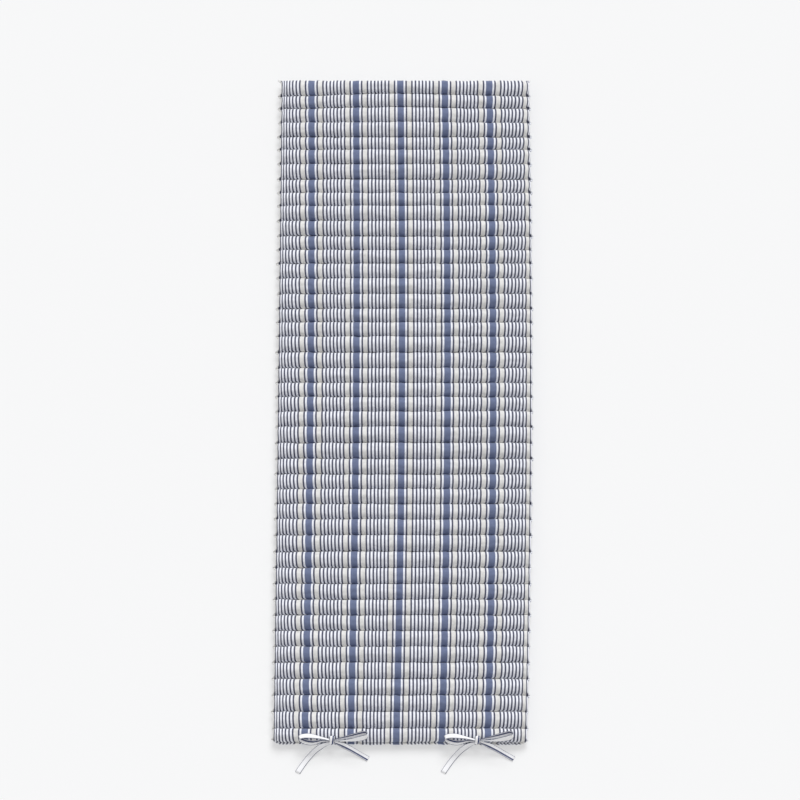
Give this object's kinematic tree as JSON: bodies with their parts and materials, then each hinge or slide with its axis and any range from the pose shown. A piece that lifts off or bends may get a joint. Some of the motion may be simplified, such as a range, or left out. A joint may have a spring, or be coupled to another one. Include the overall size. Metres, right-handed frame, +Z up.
{
  "type": "roll-up mattress",
  "caption": "Thin channel-quilted roll-up mattress with a striped woven cover and two bow-tied fabric ties at the foot end; hinges at every quilting seam.",
  "frame": {"origin": "on the floor under the middle of the quilted body", "axes": "+X across the width, +Y along the length from the foot end (with the ties) to the head end, +Z up"},
  "size_m": [0.6, 1.8303, 0.0507],
  "materials": {
    "ticking": "striped woven cotton ticking, matt",
    "tie_ribbon": "narrow woven cotton tape, matt"
  },
  "bodies": {
    "row_01": {"channel_01": "ticking", "tie_left_knot": "tie_ribbon", "tie_left_loop_a": "tie_ribbon", "tie_left_loop_b": "tie_ribbon", "tie_left_tail_a": "tie_ribbon", "tie_left_tail_b": "tie_ribbon", "tie_right_knot": "tie_ribbon", "tie_right_loop_a": "tie_ribbon", "tie_right_loop_b": "tie_ribbon", "tie_right_tail_a": "tie_ribbon", "tie_right_tail_b": "tie_ribbon"},
    "row_02": {"channel_02": "ticking"},
    "row_03": {"channel_03": "ticking"},
    "row_04": {"channel_04": "ticking"},
    "row_05": {"channel_05": "ticking"},
    "row_06": {"channel_06": "ticking"},
    "row_07": {"channel_07": "ticking"},
    "row_08": {"channel_08": "ticking"},
    "row_09": {"channel_09": "ticking"},
    "row_10": {"channel_10": "ticking"},
    "row_11": {"channel_11": "ticking"},
    "row_12": {"channel_12": "ticking"},
    "row_13": {"channel_13": "ticking"},
    "row_14": {"channel_14": "ticking"},
    "row_15": {"channel_15": "ticking"},
    "row_16": {"channel_16": "ticking"},
    "row_17": {"channel_17": "ticking"},
    "row_18": {"channel_18": "ticking"},
    "row_19": {"channel_19": "ticking"},
    "row_20": {"channel_20": "ticking"},
    "row_21": {"channel_21": "ticking"},
    "row_22": {"channel_22": "ticking"},
    "row_23": {"channel_23": "ticking"},
    "row_24": {"channel_24": "ticking"},
    "row_25": {"channel_25": "ticking"},
    "row_26": {"channel_26": "ticking"},
    "row_27": {"channel_27": "ticking"},
    "row_28": {"channel_28": "ticking"},
    "row_29": {"channel_29": "ticking"},
    "row_30": {"channel_30": "ticking"},
    "row_31": {"channel_31": "ticking"},
    "row_32": {"channel_32": "ticking"},
    "row_33": {"channel_33": "ticking"},
    "row_34": {"channel_34": "ticking"},
    "row_35": {"channel_35": "ticking"},
    "row_36": {"channel_36": "ticking"},
    "row_37": {"channel_37": "ticking"},
    "row_38": {"channel_38": "ticking"},
    "row_39": {"channel_39": "ticking"},
    "row_40": {"channel_40": "ticking"},
    "row_41": {"channel_41": "ticking"},
    "row_42": {"channel_42": "ticking"},
    "row_43": {"channel_43": "ticking"},
    "row_44": {"channel_44": "ticking"}
  },
  "joints": [
    {"name": "seam_01", "type": "hinge", "parent": "row_01", "child": "row_02", "pos_m": [0, -0.83844, 0.017], "axis": [1, 0, 0], "range_deg": [0, 12.49]},
    {"name": "seam_02", "type": "hinge", "parent": "row_02", "child": "row_03", "pos_m": [0, -0.79501, 0.017], "axis": [1, 0, 0], "range_deg": [0, 13.87]},
    {"name": "seam_03", "type": "hinge", "parent": "row_03", "child": "row_04", "pos_m": [0, -0.75175, 0.017], "axis": [1, 0, 0], "range_deg": [0, 14.12]},
    {"name": "seam_04", "type": "hinge", "parent": "row_04", "child": "row_05", "pos_m": [0, -0.70878, 0.017], "axis": [1, 0, 0], "range_deg": [0, 14.31]},
    {"name": "seam_05", "type": "hinge", "parent": "row_05", "child": "row_06", "pos_m": [0, -0.66626, 0.017], "axis": [1, 0, 0], "range_deg": [0, 14.45]},
    {"name": "seam_06", "type": "hinge", "parent": "row_06", "child": "row_07", "pos_m": [0, -0.62428, 0.017], "axis": [1, 0, 0], "range_deg": [0, 14.56]},
    {"name": "seam_07", "type": "hinge", "parent": "row_07", "child": "row_08", "pos_m": [0, -0.58286, 0.017], "axis": [1, 0, 0], "range_deg": [0, 14.68]},
    {"name": "seam_08", "type": "hinge", "parent": "row_08", "child": "row_09", "pos_m": [0, -0.54184, 0.017], "axis": [1, 0, 0], "range_deg": [0, 14.87]},
    {"name": "seam_09", "type": "hinge", "parent": "row_09", "child": "row_10", "pos_m": [0, -0.50091, 0.017], "axis": [1, 0, 0], "range_deg": [0, 15.2]},
    {"name": "seam_10", "type": "hinge", "parent": "row_10", "child": "row_11", "pos_m": [0, -0.45963, 0.017], "axis": [1, 0, 0], "range_deg": [0, 15.67]},
    {"name": "seam_11", "type": "hinge", "parent": "row_11", "child": "row_12", "pos_m": [0, -0.4177, 0.017], "axis": [1, 0, 0], "range_deg": [0, 16.21]},
    {"name": "seam_12", "type": "hinge", "parent": "row_12", "child": "row_13", "pos_m": [0, -0.37511, 0.017], "axis": [1, 0, 0], "range_deg": [0, 16.67]},
    {"name": "seam_13", "type": "hinge", "parent": "row_13", "child": "row_14", "pos_m": [0, -0.33237, 0.017], "axis": [1, 0, 0], "range_deg": [0, 16.88]},
    {"name": "seam_14", "type": "hinge", "parent": "row_14", "child": "row_15", "pos_m": [0, -0.29028, 0.017], "axis": [1, 0, 0], "range_deg": [0, 16.78]},
    {"name": "seam_15", "type": "hinge", "parent": "row_15", "child": "row_16", "pos_m": [0, -0.24955, 0.017], "axis": [1, 0, 0], "range_deg": [0, 16.52]},
    {"name": "seam_16", "type": "hinge", "parent": "row_16", "child": "row_17", "pos_m": [0, -0.21014, 0.017], "axis": [1, 0, 0], "range_deg": [0, 16.45]},
    {"name": "seam_17", "type": "hinge", "parent": "row_17", "child": "row_18", "pos_m": [0, -0.17108, 0.017], "axis": [1, 0, 0], "range_deg": [0, 16.86]},
    {"name": "seam_18", "type": "hinge", "parent": "row_18", "child": "row_19", "pos_m": [0, -0.13103, 0.017], "axis": [1, 0, 0], "range_deg": [0, 17.71]},
    {"name": "seam_19", "type": "hinge", "parent": "row_19", "child": "row_20", "pos_m": [0, -0.08938, 0.017], "axis": [1, 0, 0], "range_deg": [0, 18.52]},
    {"name": "seam_20", "type": "hinge", "parent": "row_20", "child": "row_21", "pos_m": [0, -0.04712, 0.017], "axis": [1, 0, 0], "range_deg": [0, 18.7]},
    {"name": "seam_21", "type": "hinge", "parent": "row_21", "child": "row_22", "pos_m": [0, -0.00621, 0.017], "axis": [1, 0, 0], "range_deg": [0, 18.2]},
    {"name": "seam_22", "type": "hinge", "parent": "row_22", "child": "row_23", "pos_m": [0, 0.03237, 0.017], "axis": [1, 0, 0], "range_deg": [0, 17.77]},
    {"name": "seam_23", "type": "hinge", "parent": "row_23", "child": "row_24", "pos_m": [0, 0.07004, 0.017], "axis": [1, 0, 0], "range_deg": [0, 18.26]},
    {"name": "seam_24", "type": "hinge", "parent": "row_24", "child": "row_25", "pos_m": [0, 0.10935, 0.017], "axis": [1, 0, 0], "range_deg": [0, 19.55]},
    {"name": "seam_25", "type": "hinge", "parent": "row_25", "child": "row_26", "pos_m": [0, 0.15094, 0.017], "axis": [1, 0, 0], "range_deg": [0, 20.42]},
    {"name": "seam_26", "type": "hinge", "parent": "row_26", "child": "row_27", "pos_m": [0, 0.19217, 0.017], "axis": [1, 0, 0], "range_deg": [0, 20]},
    {"name": "seam_27", "type": "hinge", "parent": "row_27", "child": "row_28", "pos_m": [0, 0.23037, 0.017], "axis": [1, 0, 0], "range_deg": [0, 19.19]},
    {"name": "seam_28", "type": "hinge", "parent": "row_28", "child": "row_29", "pos_m": [0, 0.26689, 0.017], "axis": [1, 0, 0], "range_deg": [0, 19.73]},
    {"name": "seam_29", "type": "hinge", "parent": "row_29", "child": "row_30", "pos_m": [0, 0.30568, 0.017], "axis": [1, 0, 0], "range_deg": [0, 21.48]},
    {"name": "seam_30", "type": "hinge", "parent": "row_30", "child": "row_31", "pos_m": [0, 0.34714, 0.017], "axis": [1, 0, 0], "range_deg": [0, 22.24]},
    {"name": "seam_31", "type": "hinge", "parent": "row_31", "child": "row_32", "pos_m": [0, 0.38679, 0.017], "axis": [1, 0, 0], "range_deg": [0, 21.23]},
    {"name": "seam_32", "type": "hinge", "parent": "row_32", "child": "row_33", "pos_m": [0, 0.42272, 0.017], "axis": [1, 0, 0], "range_deg": [0, 20.91]},
    {"name": "seam_33", "type": "hinge", "parent": "row_33", "child": "row_34", "pos_m": [0, 0.45954, 0.017], "axis": [1, 0, 0], "range_deg": [0, 22.85]},
    {"name": "seam_34", "type": "hinge", "parent": "row_34", "child": "row_35", "pos_m": [0, 0.50028, 0.017], "axis": [1, 0, 0], "range_deg": [0, 24.38]},
    {"name": "seam_35", "type": "hinge", "parent": "row_35", "child": "row_36", "pos_m": [0, 0.53995, 0.017], "axis": [1, 0, 0], "range_deg": [0, 23.36]},
    {"name": "seam_36", "type": "hinge", "parent": "row_36", "child": "row_37", "pos_m": [0, 0.57508, 0.017], "axis": [1, 0, 0], "range_deg": [0, 22.98]},
    {"name": "seam_37", "type": "hinge", "parent": "row_37", "child": "row_38", "pos_m": [0, 0.61152, 0.017], "axis": [1, 0, 0], "range_deg": [0, 25.54]},
    {"name": "seam_38", "type": "hinge", "parent": "row_38", "child": "row_39", "pos_m": [0, 0.65226, 0.017], "axis": [1, 0, 0], "range_deg": [0, 26.99]},
    {"name": "seam_39", "type": "hinge", "parent": "row_39", "child": "row_40", "pos_m": [0, 0.69015, 0.017], "axis": [1, 0, 0], "range_deg": [0, 25.55]},
    {"name": "seam_40", "type": "hinge", "parent": "row_40", "child": "row_41", "pos_m": [0, 0.72404, 0.017], "axis": [1, 0, 0], "range_deg": [0, 26.57]},
    {"name": "seam_41", "type": "hinge", "parent": "row_41", "child": "row_42", "pos_m": [0, 0.76225, 0.017], "axis": [1, 0, 0], "range_deg": [0, 30.06]},
    {"name": "seam_42", "type": "hinge", "parent": "row_42", "child": "row_43", "pos_m": [0, 0.80221, 0.017], "axis": [1, 0, 0], "range_deg": [0, 29.87]},
    {"name": "seam_43", "type": "hinge", "parent": "row_43", "child": "row_44", "pos_m": [0, 0.83623, 0.017], "axis": [1, 0, 0], "range_deg": [0, 30.76]}
  ]
}
